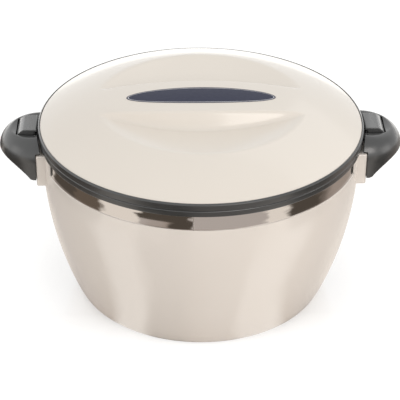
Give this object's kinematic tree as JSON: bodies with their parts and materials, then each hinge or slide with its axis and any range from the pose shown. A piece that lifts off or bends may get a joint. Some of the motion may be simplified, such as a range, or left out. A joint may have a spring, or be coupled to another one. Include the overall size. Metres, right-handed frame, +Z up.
{
  "type": "insulated casserole",
  "caption": "Round insulated casserole with a domed lift-off lid, a steel bowl, a dark rim with a bright steel band, and side handles with rocker latches.",
  "frame": {"origin": "centre of the base, on the surface that the casserole stands on", "axes": "+X through the right-hand handle, seen from the front; +Y from the front to the back; +Z up"},
  "size_m": [0.335, 0.27, 0.1774],
  "materials": {
    "cream_plastic": "satin",
    "dark_plastic": "satin",
    "bright_steel": "polished",
    "bowl_steel": "brushed",
    "screw_steel": "plain",
    "foam": "rigid foam",
    "silicone": "matte",
    "navy_badge": "gloss"
  },
  "bodies": {
    "casserole": {"outer_shell": "cream_plastic", "base_plug": "cream_plastic", "body_insulation": "foam", "inner_bowl": "bowl_steel", "rim_collar": "dark_plastic", "steel_band_front": "bright_steel", "steel_band_rear": "bright_steel", "handle_left": "dark_plastic", "handle_right": "dark_plastic", "handle_screws_left": "screw_steel", "handle_screws_right": "screw_steel", "latch_pin_left": "screw_steel", "latch_pin_right": "screw_steel"},
    "lid": {"lid_cover": "cream_plastic", "lid_ring": "dark_plastic", "lid_insulation": "foam", "lid_liner": "bowl_steel", "lid_gasket": "silicone", "badge_plate": "navy_badge"},
    "left_latch": {"latch_left": "dark_plastic"},
    "right_latch": {"latch_right": "dark_plastic"}
  },
  "joints": [
    {"name": "lid_lift", "type": "slide", "parent": "casserole", "child": "lid", "axis": [0, 0, 1], "range_m": [0, 0.12]},
    {"name": "left_latch_press", "type": "hinge", "parent": "casserole", "child": "left_latch", "pos_m": [-0.1415, 0, 0.1435], "axis": [0, -1, 0], "range_deg": [0, 35]},
    {"name": "right_latch_press", "type": "hinge", "parent": "casserole", "child": "right_latch", "pos_m": [0.1415, 0, 0.1435], "axis": [0, 1, 0], "range_deg": [0, 35]}
  ]
}
